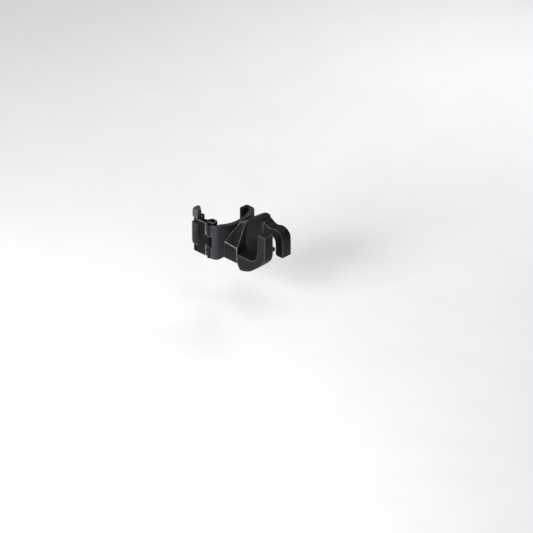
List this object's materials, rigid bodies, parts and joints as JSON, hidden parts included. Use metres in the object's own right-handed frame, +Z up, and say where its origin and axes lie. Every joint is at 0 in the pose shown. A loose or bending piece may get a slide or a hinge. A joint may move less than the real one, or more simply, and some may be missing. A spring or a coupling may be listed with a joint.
{
  "type": "fence insulator",
  "caption": "Black plastic clip-on insulator for a T-post: a saddle with a swinging clamp arm and rear latch, and two staggered hooks that hold a fence rope away from the post.",
  "frame": {"origin": "centre of the saddle's flat back face, where it bears on the front of the post's flange", "axes": "+Y towards the post, -Y out along the hooks, +Z up, +X to the right when facing the insulator"},
  "size_m": [0.0412, 0.0661, 0.037],
  "materials": {
    "body_plastic": "satin black moulded plastic",
    "arm_plastic": "satin black moulded plastic",
    "latch_plastic": "satin grey-black moulded plastic",
    "pin_steel": "dark plated steel"
  },
  "bodies": {
    "frame": {"saddle": "body_plastic", "claw_block": "body_plastic", "upper_hook": "body_plastic", "lower_hook": "body_plastic", "hinge_pin": "pin_steel"},
    "arm": {"clamp_arm": "arm_plastic", "latch_pin": "pin_steel"},
    "latch_lever": {"latch": "latch_plastic"}
  },
  "joints": [
    {"name": "arm_swing", "type": "hinge", "parent": "frame", "child": "arm", "pos_m": [-0.0194, 0.0042, 0], "axis": [0, 0, 1], "range_deg": [0, 100]},
    {"name": "latch_turn", "type": "hinge", "parent": "arm", "child": "latch_lever", "pos_m": [-0.0184, 0.0186, 0], "axis": [0, 0, 1], "range_deg": [0, 50]}
  ]
}
